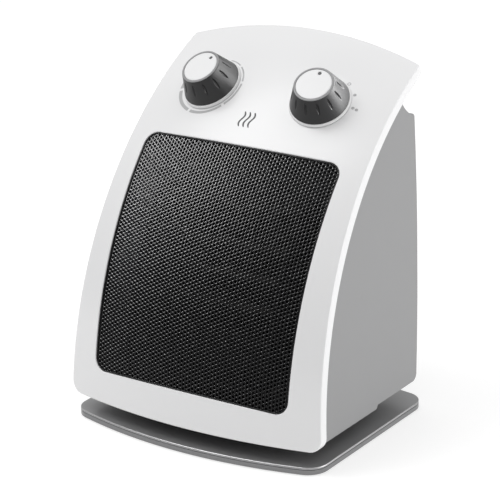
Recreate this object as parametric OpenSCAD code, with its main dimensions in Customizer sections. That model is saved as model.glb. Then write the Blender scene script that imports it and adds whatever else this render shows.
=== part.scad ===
// Compact ceramic (PTC) fan heater: a bowed front panel with two dials and an
// outlet grille, on a two-shell body that stands on a thin plinth.
// Millimetres. +Z up, front towards -Y, origin under the middle of the base.

/* [Front panel] */
// Width of the panel along its bottom edge
panel_w = 189; // [180:1:200]
// Width of the panel at its top corners
panel_top_w = 168.8; // [160:0.1:180]
// Radius of the panel's curve, seen from the side, along its side edges
side_r = 232.5; // [225:0.5:240]
// How far the panel bulges forward across its width
bow = 12.4; // [8:0.1:16]
// Angle up the curve at which the top corners lie
top_angle = 64.9; // [60:0.1:70]
// Rise of the arched top edge over its corners
top_arch = 8.6; // [4:0.1:12]
// Depth of the flange around the panel's edge
flange_d = 6.3; // [4:0.1:9]
// Thickness of the panel's skin
skin_t = 2.4; // [1.8:0.1:3]
// Radius of the panel's bottom corners
bottom_corner_r = 8; // [4:0.5:12]
// Radius of the panel's top corners
top_corner_r = 2; // [1.5:0.5:8]

/* [Outlet grille] */
// Width of the outlet
outlet_w = 145; // [120:0.2:150]
// Angle up the curve of the outlet's bottom edge
outlet_low = 5.6; // [4:0.1:10]
// Angle up the curve of the outlet's top edge
outlet_high = 43.8; // [40:0.1:45]
// Corner radius of the outlet
outlet_r = 9; // [5:0.5:14]
// Width of the black bezel around the mesh
bezel_w = 1; // [0.8:0.1:3]

/* [Body] */
// Width of the body at its bottom
body_w = 172.6; // [165:0.1:176]
// Width of the body at its top
body_top_w = 164.2; // [158:0.1:168]
// Height of the body's underside over the floor
body_z0 = 14.5; // [12:0.1:18]
// Height of the body's flat top over the floor
body_z1 = 195.7; // [188:0.1:200]
// Furthest reach of the rear wall behind the middle
rear_y = 71.4; // [66:0.1:74]
// Place of the joint between the front and rear shells
seam_y = 5; // [0:0.5:10]
// Wall thickness of the shells
wall = 2.2; // [1.8:0.1:3]
// Radius of the ramp behind the panel that leaves room for fingers
scoop_r = 30; // [20:0.5:36]

/* [Plinth] */
// Width of the plinth
plinth_w = 185; // [180:1:190]
// Depth of the plinth along its middle line
plinth_d = 153.6; // [150:0.2:160]
// Bulge of the plinth's front edge
plinth_bow = 14.8; // [8:0.1:18]
// Bulge of the plinth's rear edge
plinth_rear_bow = 7.5; // [2:0.1:12]
// Corner radius of the plinth
plinth_r = 14; // [8:0.5:20]
// Height of the plinth's upper face over the floor
plinth_z = 5.3; // [4.8:0.1:7]

/* [Dials] */
// Distance of each dial from the middle
dial_x = 40.2; // [36:0.1:44]
// Angle up the curve at which the dials sit
dial_angle = 53; // [52:0.1:55]
// Radius of a dial's skirt
dial_r = 19.1; // [17:0.1:20]
// Radius of a dial's top rim
dial_rim_r = 12.8; // [12:0.1:14]
// Height of a dial over the panel
dial_h = 17.5; // [14:0.1:20]
// Direction of the thermostat's indicator at its minimum, clockwise from the top
thermostat_zero = 28; // [0:1:60]

/* [Heater and fan] */
// Height of the fan's axis over the floor
fan_z = 98; // [94:1:104]
// Outer radius of the impeller
fan_r = 50; // [44:0.5:52]
// Number of impeller blades
blades = 7; // [5:1:9]
// Width of the ceramic heating element
element_w = 92; // [84:1:96]
// Number of fin banks in the element
fin_banks = 4; // [3:1:5]

/* [Hidden] */
$fn = 96;
fine = 360;             // segments of the large curves
eps = 0.01;             // overlap that keeps cuts clean
bite = 0.02;            // a rounding stops this far short of touching the sides smoothly
gap = 0.3;              // gap between neighbouring mouldings
far = 300;              // longer than anything it has to cut through

// The panel's surface is a barrel turned about a line along X.
axis_y = plinth_d / 2 + 94;
axis_z = 13.5;
half_w = panel_w / 2;
crown_r = side_r + bow;                                  // radius at the middle
bow_r = (half_w * half_w + bow * bow) / (2 * bow);       // radius of the bow across
panel_z0 = body_z0 + 0.9;
top_x = panel_top_w / 2;
top_z = axis_z + barrel_r(top_x) * sin(top_angle);
side_slope = (half_w - top_x) / (top_z - panel_z0);
side_lean = atan(side_slope);
arch_angle = top_angle + 1.1;                            // direction the top edge faces
arch_v = barrel_r(top_x) * sin(top_angle - arch_angle);  // corner, in that direction's plane
arch_r = (top_x * top_x + top_arch * top_arch) / (2 * top_arch);

body_half = body_w / 2;
body_slope = (body_w - body_top_w) / 2 / (body_z1 - body_z0);
rear_bow_r = 1412;                                       // the rear wall is slightly bowed
rear_bow_z = 110;
rear_step_y = 17.6;                                      // the underside steps up here
rear_step = 2.4;
scoop_y = 48.5 + scoop_r;                                // centre of the ramp's curve
scoop_z = body_z1 + scoop_r - 3.5;
rear_corner_r = 3;

plinth_half = plinth_w / 2;
plinth_front_r = (plinth_half * plinth_half + plinth_bow * plinth_bow) / (2 * plinth_bow);
plinth_back_r = (plinth_half * plinth_half + plinth_rear_bow * plinth_rear_bow)
    / (2 * plinth_rear_bow);
foot_h = 0.6;
foot_stem_r = 2;
plinth_top_t = 1.4;
neck_x = 116;
neck_y = [-36, 46];
neck_wall = 2.5;
neck_r = 12;

outlet_mid = (outlet_low + outlet_high) / 2;
outlet_h = 2 * (crown_r - bow / 2) * sin((outlet_high - outlet_low) / 2);

spindle_r = 3;
spindle_hole_r = 4;
dial_gap = 0.5;                                          // under the dial's skirt
dial_foot = 0.9;                                         // how far its foot ring stands out
dial_foot_h = 1.4;
cap_gap = 1.3;                                           // width of the rim around the cap
grips = 12;
grip_w = 1.5;
grip_sweep = 8;                                          // radius that bows a grip's floor
grip_depth = 0.9;
dot_at = 8.7;
dot_r = 1.2;
dot_depth = 0.3;
switch_case = [24, 24, 16];
switch_depth = 5;                                        // from the panel's face
bush_r = 5;                                              // threaded bush of a control
bracket_t = 1.6;
bracket_d = 10.5;                                        // depth of the control bracket

frame_size = [element_w + 14, 18, 104];                  // heater frame, centred on the fan
frame_y = -14;
fin_h = 17;
plate_h = 4;
element_h = fin_banks * fin_h + (fin_banks - 1) * plate_h;
fin_pitch = 3.5;
fin_t = 0.4;
fin_depth = 12;

shroud_y = frame_y + frame_size[1];
shroud_t = 2.5;
shroud_size = [132, 150];
fan_clearance = 3;
fan_y = [shroud_y + 6, shroud_y + 20];
collar_d = 26;
shaft_r = 1.6;
stator_y = shroud_y + 31;
stator_t = 16;
rotor_r = 12;
rotor_gap = 0.5;
bridge_t = 1.5;
bridge_gap = 5;

tip_at = [30, 22];
tip_r = 3;
tip_travel = 4;
tip_case = [22, 14, 24];
tip_rest_z = 0.4;

inlet_at = [-58, 29];
inlet_r = 5.5;

screw_r = 1.6;
screw_head_r = 3;
boss_r = 3.6;
boss_h = 10;
shell_screw_x = 72;
shell_screw_z = [30, 152];
plinth_screw_x = 44;
plinth_screw_y = [-24, 34];

// ---------- shared geometry ----------

// Radius of the barrel at the distance x from the middle
function barrel_r(x) = crown_r - bow_r + sqrt(bow_r * bow_r - x * x);

// Half width of the panel and of the body at a height
function panel_x(z) = half_w - side_slope * (z - panel_z0);
function body_x(z) = body_half - body_slope * (z - body_z0);

// Turns a shape that is revolved about Z into one revolved about the barrel's axis,
// with its angle 0 facing the front
module barrel_axis() {
    translate([0, axis_y, axis_z]) rotate([90, 0, -90]) children();
}

// Solid of everything behind the panel's face, from a depth inwards
module behind_panel(depth) {
    barrel_axis() rotate_extrude($fn = fine) intersection() {
        translate([crown_r - bow_r, 0]) circle(bow_r - depth, $fn = 4 * fine);
        translate([0, -110]) square([far, 220]);
    }
}

// Curved sheet between two depths under the panel's face
module barrel_sheet(d0, d1, a0 = -4, a1 = 72) {
    barrel_axis() rotate([0, 0, a0]) rotate_extrude(angle = a1 - a0, $fn = fine)
        intersection() {
            translate([crown_r - bow_r, 0]) difference() {
                circle(bow_r - d0, $fn = 4 * fine);
                circle(bow_r - d1, $fn = 4 * fine);
            }
            translate([side_r / 2, -110]) square([far, 220]);
        }
}

// Puts a shape on the panel at (x, angle): local Z is the outward normal, local Y is up
module on_panel(x, angle) {
    translate([x, axis_y - barrel_r(x) * cos(angle), axis_z + barrel_r(x) * sin(angle)])
        rotate([90 - angle, 0, 0]) rotate([0, asin(x / bow_r), 0]) children();
}

// Frame on the barrel's axis whose local Z points along an angle of the curve
module facing(angle) {
    translate([0, axis_y, axis_z]) rotate([90 - angle, 0, 0]) children();
}

// What a rounded corner removes, between two directions from its centre
module corner_cut(at, r, a0, a1) {
    mid = (a0 + a1) / 2;
    translate(at) difference() {
        polygon([[0, 0], 3 * r * [cos(a0), sin(a0)], 5 * r * [cos(mid), sin(mid)],
            3 * r * [cos(a1), sin(a1)]]);
        circle(r);
    }
}

// Extrudes an outline drawn in X and Z right through along Y
module through_y() {
    rotate([90, 0, 0]) translate([0, 0, -far / 2]) linear_extrude(far) children();
}

// Extrudes an outline drawn in Y and Z right through along X
module through_x() {
    rotate([90, 0, 90]) translate([0, 0, -far / 2]) linear_extrude(far) children();
}

// Mirrored pair, left and right
module both() {
    children();
    mirror([1, 0, 0]) children();
}

// Rectangle with round corners, centred
module round_rect(w, h, r) {
    square([w, h - 2 * r], center = true);
    square([w - 2 * r, h], center = true);
    for (x = [-1, 1], y = [-1, 1])
        translate([x * (w / 2 - r), y * (h / 2 - r)]) circle(r);
}

// Outline of the panel, set in by some distance, as a prism across the panel
module panel_prism(inset = 0) {
    low = panel_z0 + inset;
    r = bottom_corner_r - inset;
    side = inset / cos(side_lean);
    arch = arch_r - inset;
    arch_mid = arch_v + top_arch - arch_r;
    tr = top_corner_r - min(inset, top_corner_r - 1);
    tx = top_x - side - tr;
    ty = sqrt(pow(arch - tr, 2) - tx * tx);
    intersection() {
        through_y() difference() {
            polygon([[-panel_x(low) + side, low], [panel_x(low) - side, low],
                [panel_x(far) - side, far], [-panel_x(far) + side, far]]);
            for (m = [0, 1]) mirror([m, 0])
                corner_cut([panel_x(low + r) - side - r / cos(side_lean) + bite, low + r - bite],
                    r, -90, side_lean);
        }
        facing(arch_angle) translate([0, 0, 60]) linear_extrude(far) difference() {
            translate([0, arch_mid]) circle(arch, $fn = 4 * fine);
            for (m = [0, 1]) mirror([m, 0])
                corner_cut([tx, arch_mid + ty], tr, 0, atan2(ty, tx));
        }
    }
}

// The outlet's opening as a prism, grown by some distance
module outlet_prism(grow = 0) {
    facing(outlet_mid) translate([0, 0, side_r - 40]) linear_extrude(80)
        round_rect(outlet_w + 2 * grow, outlet_h + 2 * grow, outlet_r + grow);
}

// The body's outer form, set in by a wall thickness, cut off at a depth behind the panel
module body_block(inset, depth) {
    rear_r = rear_bow_r - inset;
    rear_mid = rear_y - rear_bow_r;
    low = body_z0 + inset;
    top_r = 3 - inset / 2;
    low_r = 5 - inset;
    top_at = body_z1 - inset - top_r;
    low_at = low + rear_step + low_r;
    wall_y = scoop_y - scoop_r - inset;
    intersection() {
        through_x() difference() {
            intersection() {
                polygon([[-120, low], [rear_step_y, low], [rear_step_y + 1.6, low + rear_step],
                    [90, low + rear_step], [90, body_z1 - inset], [scoop_y, body_z1 - inset],
                    [scoop_y, scoop_z], [wall_y, scoop_z], [wall_y, far], [-120, far]]);
                translate([rear_mid, rear_bow_z]) circle(rear_r, $fn = 8 * fine);
            }
            intersection() {
                translate([scoop_y, scoop_z]) circle(scoop_r + inset, $fn = fine);
                translate([0, body_z1 - inset]) square(far);
            }
            corner_cut([rear_mid + sqrt(pow(rear_r - top_r, 2) - pow(top_at - rear_bow_z, 2)),
                top_at], top_r, 3, 90);
            corner_cut([rear_mid + sqrt(pow(rear_r - low_r, 2) - pow(low_at - rear_bow_z, 2)),
                low_at], low_r, -90, -3);
        }
        through_y() polygon([[-body_x(0) + inset, 0], [body_x(0) - inset, 0],
            [body_x(far) - inset, far], [-body_x(far) + inset, far]]);
        linear_extrude(far) difference() {
            translate([-body_half, -120]) square([body_w, 120 + rear_y]);
            for (m = [0, 1]) mirror([m, 0])
                corner_cut([body_half - rear_corner_r - inset,
                    rear_y - rear_corner_r - inset], rear_corner_r, 0, 90);
        }
        behind_panel(depth);
    }
}

// Space around the panel's flange, which the body's walls stay out of
module flange_room() {
    difference() {
        barrel_sheet(-1, flange_d + gap, -8, 76);
        panel_prism(skin_t + gap);
    }
}

// Everything in front of, or behind, the seam
module before_seam() {
    translate([-far / 2, -far + seam_y, 0]) cube(far);
}
module after_seam() {
    translate([-far / 2, seam_y, 0]) cube(far);
}

// Outline of the plinth, set in by some distance
module plinth_outline(inset = 0) {
    front = plinth_front_r - inset;
    back = plinth_back_r - inset;
    front_mid = -plinth_d / 2 + plinth_front_r;
    back_mid = plinth_d / 2 - plinth_back_r;
    r = plinth_r - inset;
    cx = plinth_half - inset - r;
    fy = sqrt(pow(front - r, 2) - cx * cx);
    by = sqrt(pow(back - r, 2) - cx * cx);
    difference() {
        intersection() {
            translate([0, front_mid]) circle(front, $fn = 4 * fine);
            translate([0, back_mid]) circle(back, $fn = 4 * fine);
            square([plinth_w - 2 * inset, far], center = true);
        }
        for (m = [0, 1]) mirror([m, 0]) {
            corner_cut([cx, front_mid - fy], r, -atan2(fy, cx), 0);
            corner_cut([cx, back_mid + by], r, 0, atan2(by, cx));
        }
    }
}

// Places for each kind of screw
module at_shell_screws() {
    both() for (z = shell_screw_z) translate([shell_screw_x, 0, z])
        rotate([-90, 0, 0]) children();
}
module at_plinth_screws() {
    for (x = [-1, 1], y = plinth_screw_y) translate([x * plinth_screw_x, y, 0]) children();
}
module at_bracket_screws() {
    for (x = [-1, 1], at = [[24, 10], [24, -10], [-24, 0]])
        on_panel(x * dial_x, dial_angle) translate([x * at[0], at[1], 0]) children();
}
module at_motor_screws() {
    for (x = [-1, 1]) translate([x * 22, 0, fan_z]) rotate([-90, 0, 0]) children();
}
module at_frame_screws() {
    for (x = [-1, 1], z = [-1, 1])
        translate([x * (frame_size[0] / 2 + 4), 0, fan_z + z * 30])
            rotate([-90, 0, 0]) children();
}

// Pan-head screw: the head sits above z = 0, the thread runs down
module screw(length) {
    difference() {
        union() {
            cylinder(r = screw_head_r, h = 1.2);
            translate([0, 0, 1.2]) cylinder(r1 = screw_head_r, r2 = screw_head_r * 0.7, h = 0.7);
            translate([0, 0, -length + 2]) cylinder(r = screw_r, h = length - 2 + eps);
            translate([0, 0, -length]) cylinder(r1 = 0.4, r2 = screw_r, h = 2 + eps);
        }
        for (a = [0, 90]) rotate([0, 0, a])
            translate([-1.7, -0.35, 1]) cube([3.4, 0.7, 2]);
    }
}

// Screw boss along local Z, with a web that joins it to the nearer side wall
module wall_boss(length) {
    cylinder(r = boss_r, h = length);
    translate([0, -1, 0]) cube([20, 2, length]);
}

// ---------- housing ----------

module front_panel() {
    color("white") difference() {
        union() {
            difference() {
                intersection() {
                    barrel_sheet(0, flange_d);
                    panel_prism();
                }
                intersection() {
                    barrel_sheet(skin_t, flange_d + 2, -8, 76);
                    panel_prism(skin_t);
                }
            }
            at_bracket_screws() translate([0, 0, bracket_t - bracket_d])
                cylinder(r = boss_r, h = bracket_d - bracket_t - skin_t);
        }
        outlet_prism();
        for (x = [-1, 1]) on_panel(x * dial_x, dial_angle)
            translate([0, 0, -10]) cylinder(r = spindle_hole_r, h = 20);
        at_bracket_screws() translate([0, 0, -bracket_d - 1])
            cylinder(r = screw_r, h = bracket_d - 3);
    }
}

module grille_bezel() {
    color("#17181a") difference() {
        intersection() {
            barrel_sheet(0.6, 6);
            outlet_prism(-0.05);
        }
        outlet_prism(-bezel_w);
    }
}

module grille_mesh() {
    color("#222426") intersection() {
        barrel_sheet(1.8, 2.8);
        outlet_prism(-bezel_w - 0.02);
    }
}

module front_shell() {
    color("silver") difference() {
        union() {
            intersection() {
                difference() {
                    body_block(0, skin_t + gap);
                    body_block(wall, 0);
                    flange_room();
                }
                before_seam();
            }
            // rim that closes the gap between the body and the panel's flange
            difference() {
                intersection() {
                    barrel_sheet(skin_t + gap, skin_t + gap + 2.2, -2, 54);
                    panel_prism(skin_t + gap);
                }
                body_block(wall / 2, 0);
                intersection() {
                    body_block(-0.1, 0);
                    after_seam();
                }
            }
            // bosses that the rear shell and the plinth are screwed to
            intersection() {
                union() {
                    at_shell_screws() translate([0, 0, shroud_y - 16]) wall_boss(16);
                    at_plinth_screws() translate([0, 0, body_z0]) cylinder(r = boss_r, h = boss_h);
                }
                body_block(wall / 2, skin_t + gap);
                before_seam();
            }
        }
        at_shell_screws() translate([0, 0, shroud_y - 15]) cylinder(r = screw_r, h = 16);
        at_plinth_screws() cylinder(r = screw_r, h = body_z0 + boss_h - 1);
    }
}

module rear_shell() {
    slot_pitch = 8;
    slot_h = 3.6;
    slot_len = 36;
    color("silver") difference() {
        union() {
            intersection() {
                difference() {
                    body_block(0, skin_t + gap);
                    body_block(wall, 0);
                    flange_room();
                }
                after_seam();
            }
            // screw tubes and bosses
            intersection() {
                union() {
                    at_shell_screws() translate([0, 0, shroud_y + shroud_t]) wall_boss(70);
                    at_plinth_screws() translate([0, 0, body_z0]) cylinder(r = boss_r, h = boss_h);
                }
                body_block(wall / 2, skin_t + gap);
                after_seam();
            }
        }
        // intake louvres
        for (x = [-1, 0, 1], i = [0 : 15])
            translate([x * (slot_len + 6) - slot_len / 2, rear_y - 12, 42 + i * slot_pitch])
                cube([slot_len, 20, slot_h]);
        at_shell_screws() {
            translate([0, 0, seam_y - 1]) cylinder(r = screw_r + 0.2, h = 90);
            translate([0, 0, seam_y + 8]) cylinder(r = screw_head_r + 0.4, h = 90);
        }
        at_plinth_screws() cylinder(r = screw_r, h = body_z0 + boss_h - 1);
        translate([tip_at[0], tip_at[1], 0]) cylinder(r = tip_r + 0.6, h = 30);
        // cord inlet
        translate([inlet_at[0], rear_y - 20, inlet_at[1]]) rotate([-90, 0, 0])
            cylinder(r = inlet_r, h = 40);
    }
}

module neck() {
    mid_y = (neck_y[0] + neck_y[1]) / 2;
    len_y = neck_y[1] - neck_y[0];
    color("dimgray") difference() {
        union() {
            translate([0, mid_y, plinth_z]) linear_extrude(body_z0 - plinth_z) difference() {
                round_rect(neck_x, len_y, neck_r);
                round_rect(neck_x - 2 * neck_wall, len_y - 2 * neck_wall, neck_r - neck_wall);
            }
            at_plinth_screws() translate([0, 0, plinth_z])
                cylinder(r = boss_r + 2.4, h = body_z0 - plinth_z);
            for (y = plinth_screw_y) translate([1 - neck_x / 2, y - 1, plinth_z])
                cube([neck_x - 2, 2, body_z0 - plinth_z]);
        }
        at_plinth_screws() cylinder(r = screw_r + 0.2, h = 60);
    }
    // the rear half reaches up to the stepped part of the underside
    color("dimgray") intersection() {
        translate([0, mid_y, body_z0]) linear_extrude(rear_step) difference() {
            round_rect(neck_x, len_y, neck_r);
            round_rect(neck_x - 2 * neck_wall, len_y - 2 * neck_wall, neck_r - neck_wall);
        }
        translate([-far / 2, rear_step_y + 2, 0]) cube(far);
    }
}

module plinth_top() {
    chamfer = 0.5;
    z0 = plinth_z - plinth_top_t;
    color("silver") difference() {
        union() {
            translate([0, 0, z0]) linear_extrude(plinth_top_t - chamfer) plinth_outline();
            translate([0, 0, z0]) linear_extrude(plinth_top_t) plinth_outline(chamfer);
            // locating rim inside the base
            translate([0, 0, z0 - 0.8]) linear_extrude(0.8 + eps) difference() {
                plinth_outline(2.4 + gap);
                plinth_outline(4.2 + gap);
            }
        }
        at_plinth_screws() cylinder(r = screw_r + 0.2, h = 60);
        translate([tip_at[0], tip_at[1], 0]) cylinder(r = tip_r + 1, h = 30);
    }
}

module plinth_base() {
    z1 = plinth_z - plinth_top_t;
    color("gray") difference() {
        union() {
            translate([0, 0, foot_h]) linear_extrude(z1 - foot_h - gap) difference() {
                plinth_outline();
                plinth_outline(2.4);
            }
            translate([0, 0, foot_h]) linear_extrude(1.2) plinth_outline(1);
            // recessed seat of the top plate, which leaves the fine groove
            translate([0, 0, foot_h]) linear_extrude(z1 - foot_h) difference() {
                plinth_outline(0.8);
                plinth_outline(2.4);
            }
            for (x = [-1, 0, 1]) translate([x * 56 - 0.8, -52, foot_h])
                cube([1.6, 108, z1 - foot_h]);
            for (y = [-1, 1]) translate([-72, y * 36 - 0.8, foot_h])
                cube([144, 1.6, z1 - foot_h]);
            at_plinth_screws() translate([0, 0, foot_h]) cylinder(r = 6, h = z1 - foot_h);
        }
        at_plinth_screws() {
            cylinder(r = screw_r + 0.2, h = 60);
            cylinder(r = screw_head_r + 0.4, h = foot_h + 1.2);
        }
        translate([tip_at[0], tip_at[1], 0]) cylinder(r = tip_r + 1, h = 30);
        at_feet() cylinder(r = foot_stem_r, h = foot_h + 1.6);
    }
}

module at_feet() {
    for (x = [-1, 1], y = [-48, 54]) translate([x * 74, y, 0]) children();
}

module rubber_feet() {
    color("#222222") at_feet() {
        cylinder(r = 5, h = foot_h);
        translate([0, 0, foot_h - eps]) cylinder(r = foot_stem_r, h = 1.6);
    }
}

// ---------- dials and controls ----------

// Dial turned about local Z; the grips are narrow slots around its cone
module dial_body() {
    foot_top = dial_gap + dial_foot_h;
    cone_h = dial_h - 0.4 - foot_top;
    lean = atan((dial_r - dial_rim_r) / cone_h);
    difference() {
        union() {
            translate([0, 0, dial_gap]) cylinder(r = dial_r + dial_foot, h = dial_foot_h);
            translate([0, 0, foot_top - eps]) cylinder(r1 = dial_r, r2 = dial_rim_r, h = cone_h);
        }
        translate([0, 0, dial_h - 1.4]) cylinder(r = dial_rim_r - cap_gap, h = 3);
        for (i = [0 : grips - 1]) rotate([0, 0, i * 360 / grips])
            translate([dial_r, 0, foot_top]) rotate([0, -lean, 0])
                translate([grip_sweep - grip_depth, 0, cone_h * 0.6 / cos(lean)])
                    rotate([90, 0, 0]) cylinder(r = grip_sweep, h = grip_w, center = true);
        // hollow underside
        difference() {
            translate([0, 0, -1]) cylinder(r1 = dial_r - 1.6, r2 = dial_rim_r - 3.4, h = dial_h - 3);
            cylinder(r = spindle_r + 2, h = dial_h);
        }
        translate([0, 0, -1]) cylinder(r = spindle_r, h = 12);
    }
}

module dial_cap(zero) {
    difference() {
        translate([0, 0, dial_h - 1.4]) cylinder(r = dial_rim_r - cap_gap - 0.02, h = 1.5);
        rotate([0, 0, -zero]) translate([0, dot_at, dial_h - dot_depth]) cylinder(r = dot_r, h = 1);
    }
}

module spindle() {
    difference() {
        translate([0, 0, -switch_depth - switch_case[2] - 1])
            cylinder(r = spindle_r - 0.02, h = switch_depth + switch_case[2] + 1 + 10.5);
        translate([spindle_r - 1, -spindle_r, 1]) cube([4, 2 * spindle_r, 12]);
    }
}

module control_case() {
    difference() {
        union() {
            translate([0, 0, -bracket_d - switch_case[2] / 2 - 0.02])
                cube(switch_case, center = true);
            translate([0, 0, -bracket_d - 1])
                cylinder(r = bush_r, h = bracket_d + 1 - skin_t - 1);
            translate([0, -switch_case[1] / 2 - 3, -bracket_d - switch_case[2] / 2])
                cube([5, 8, 0.8], center = true);
            translate([7, -switch_case[1] / 2 - 3, -bracket_d - switch_case[2] / 2])
                cube([5, 8, 0.8], center = true);
        }
        translate([0, 0, -60]) cylinder(r = spindle_r + 0.03, h = 80);
    }
}

module thermostat_knob() {
    color("#9a9c9f") on_panel(-dial_x, dial_angle) dial_body();
}
module thermostat_knob_cap() {
    color("white") on_panel(-dial_x, dial_angle) dial_cap(thermostat_zero);
}
module thermostat_spindle() {
    color("#c8a860") on_panel(-dial_x, dial_angle) spindle();
}
module thermostat_case() {
    color("#e8e2cc") on_panel(-dial_x, dial_angle) control_case();
}
module mode_knob() {
    color("#9a9c9f") on_panel(dial_x, dial_angle) dial_body();
}
module mode_knob_cap() {
    color("white") on_panel(dial_x, dial_angle) dial_cap(0);
}
module mode_spindle() {
    color("#c8a860") on_panel(dial_x, dial_angle) spindle();
}
module mode_switch_case() {
    color("#303030") on_panel(dial_x, dial_angle) control_case();
}

module spindle_nuts() {
    color("silver") for (x = [-1, 1]) on_panel(x * dial_x, dial_angle)
        translate([0, 0, -bracket_d + bracket_t]) difference() {
            cylinder(r = 8, h = 2.5, $fn = 6);
            translate([0, 0, -1]) cylinder(r = bush_r + 0.02, h = 5);
        }
}

module control_bracket() {
    color("#b0b4b8") for (x = [-1, 1]) difference() {
        on_panel(x * dial_x, dial_angle) translate([0, 0, -bracket_d])
            difference() {
                translate([-30, -15, 0]) cube([60, 28, bracket_t]);
                translate([0, 0, -1]) cylinder(r = bush_r + 0.05, h = 5);
            }
        at_bracket_screws() translate([0, 0, -30]) cylinder(r = screw_r + 0.2, h = 60);
    }
}

// ---------- heater ----------

module heater_frame() {
    inner = [element_w + 0.2, element_h + 0.2];
    color("#26282a") difference() {
        union() {
            translate([-frame_size[0] / 2, frame_y, fan_z - frame_size[2] / 2]) cube(frame_size);
            at_frame_screws() translate([0, 0, shroud_y - 3]) cylinder(r = 4.5, h = 3);
        }
        translate([-inner[0] / 2, frame_y - 1, fan_z - inner[1] / 2])
            cube([inner[0], frame_size[1] + 2, inner[1]]);
        at_frame_screws() translate([0, 0, -40]) cylinder(r = screw_r + 0.1, h = 60);
        // slots that the terminals leave through
        for (i = [0 : fin_banks - 2]) translate([-frame_size[0] / 2 - 1, frame_y + 8, plate_z(i) - 1.5])
            cube([12, 2, 3]);
    }
}

// Sleeve that leads the warm air from the element to the outlet
module outlet_duct() {
    t = 1.5;
    color("#26282a") intersection() {
        translate([0, frame_y, fan_z]) rotate([90, 0, 0]) linear_extrude(60) difference() {
            square([frame_size[0], frame_size[2]], center = true);
            square([frame_size[0] - 2 * t, frame_size[2] - 2 * t], center = true);
        }
        behind_panel(7);
    }
}

// Height of the middle of plate i
function plate_z(i) = fan_z - element_h / 2 + (i + 1) * fin_h + (i + 0.5) * plate_h;

module ptc_fins() {
    color("#d5d7d9") for (b = [0 : fin_banks - 1]) {
        z0 = fan_z - element_h / 2 + b * (fin_h + plate_h);
        translate([-element_w / 2, frame_y + 3, z0]) {
            cube([element_w, fin_depth, 0.8]);
            translate([0, 0, fin_h - 0.8]) cube([element_w, fin_depth, 0.8]);
            for (x = [1 : fin_pitch : element_w - 1])
                translate([x, 0, 0.4]) cube([fin_t, fin_depth, fin_h - 0.8]);
        }
    }
}

module ptc_plates() {
    color("#b9b3a6") for (i = [0 : fin_banks - 2])
        translate([-element_w / 2 + 1, frame_y + 3, plate_z(i) - plate_h / 2])
            cube([element_w - 2, fin_depth, plate_h]);
}

module ptc_terminals() {
    color("#c8a860") for (i = [0 : fin_banks - 2])
        translate([-frame_size[0] / 2 - 7, frame_y + 8.5, plate_z(i) - 1.2])
            cube([frame_size[0] / 2 + 7 - element_w / 2 + 1, 0.8, 2.4]);
}

module thermal_cutout() {
    top = fan_z + frame_size[2] / 2;
    color("#1c1c1c") translate([22, frame_y + 9, top]) {
        cylinder(r = 8, h = 5);
        translate([0, 0, 5 - eps]) cylinder(r = 6.5, h = 1.5);
    }
    color("#c8a860") for (x = [-1, 1])
        translate([22 + x * 10 - 4, frame_y + 7, top + 2]) cube([8, 4, 0.8]);
}

module thermal_fuse() {
    top = fan_z + frame_size[2] / 2;
    color("#e0e0e0") translate([-30, frame_y + 9, top + 3]) rotate([0, 90, 0])
        cylinder(r = 2, h = 11);
    color("#c8a860") translate([-40, frame_y + 9, top + 3]) rotate([0, 90, 0])
        cylinder(r = 0.5, h = 31);
    color("#303030") for (x = [-34, -14]) translate([x, frame_y + 7, top])
        cube([2, 4, 4.5]);
}

// ---------- fan and motor ----------

module fan_shroud() {
    ring_r = fan_r + fan_clearance;
    arm_y = shroud_y + collar_d;
    color("#3a3d40") difference() {
        union() {
            translate([-shroud_size[0] / 2, shroud_y, fan_z - shroud_size[1] / 2])
                cube([shroud_size[0], shroud_t, shroud_size[1]]);
            translate([0, shroud_y, fan_z]) rotate([-90, 0, 0])
                cylinder(r = ring_r + 2, h = collar_d);
            // ears clamped between the two shells' bosses
            at_shell_screws() translate([0, 0, shroud_y]) {
                cylinder(r = boss_r, h = shroud_t);
                translate([-10, -boss_r, 0]) cube([10, 2 * boss_r, shroud_t]);
            }
        }
        at_shell_screws() cylinder(r = screw_r + 0.2, h = 60);
        translate([0, shroud_y - 1, fan_z]) rotate([-90, 0, 0]) cylinder(r = ring_r, h = 60);
        at_frame_screws() cylinder(r = screw_r, h = 60);
    }
    // arms that hold the motor, set back a little from the collar's edge
    color("#3a3d40") difference() {
        translate([0, arm_y - 0.5, fan_z]) rotate([90, 0, 0]) linear_extrude(3) difference() {
            union() {
                circle(27);
                for (a = [45 : 90 : 315]) rotate(a) translate([20, -2.5]) square([ring_r - 19, 5]);
            }
            circle(16);
        }
        at_motor_screws() cylinder(r = screw_r, h = 60);
    }
}

module impeller() {
    hub_r = 14;
    depth = fan_y[1] - fan_y[0];
    color("#505458") {
        translate([0, fan_y[0], fan_z]) rotate([-90, 0, 0]) difference() {
            cylinder(r = hub_r, h = depth);
            translate([0, 0, 2]) cylinder(r = hub_r - 2, h = depth);
            translate([0, 0, -1]) cylinder(r = shaft_r, h = 5);
        }
        translate([0, fan_y[0], fan_z]) rotate([-90, 0, 0]) difference() {
            cylinder(r = 4, h = depth - 1);
            translate([0, 0, -1]) cylinder(r = shaft_r, h = depth + 2);
        }
        intersection() {
            for (i = [0 : blades - 1])
                translate([0, (fan_y[0] + fan_y[1]) / 2, fan_z])
                    rotate([0, i * 360 / blades, 0]) translate([hub_r - 1, 0, 0])
                        rotate([32, 0, 0]) translate([0, -0.7, -11])
                            cube([fan_r, 1.4, 22]);
            translate([0, fan_y[0], fan_z]) rotate([-90, 0, 0]) cylinder(r = fan_r, h = depth);
        }
    }
}

module motor_shaft() {
    color("silver") translate([0, fan_y[0] - 2, fan_z]) rotate([-90, 0, 0])
        cylinder(r = shaft_r - 0.02, h = stator_y + stator_t + bridge_gap + 5 - fan_y[0]);
}

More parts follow.
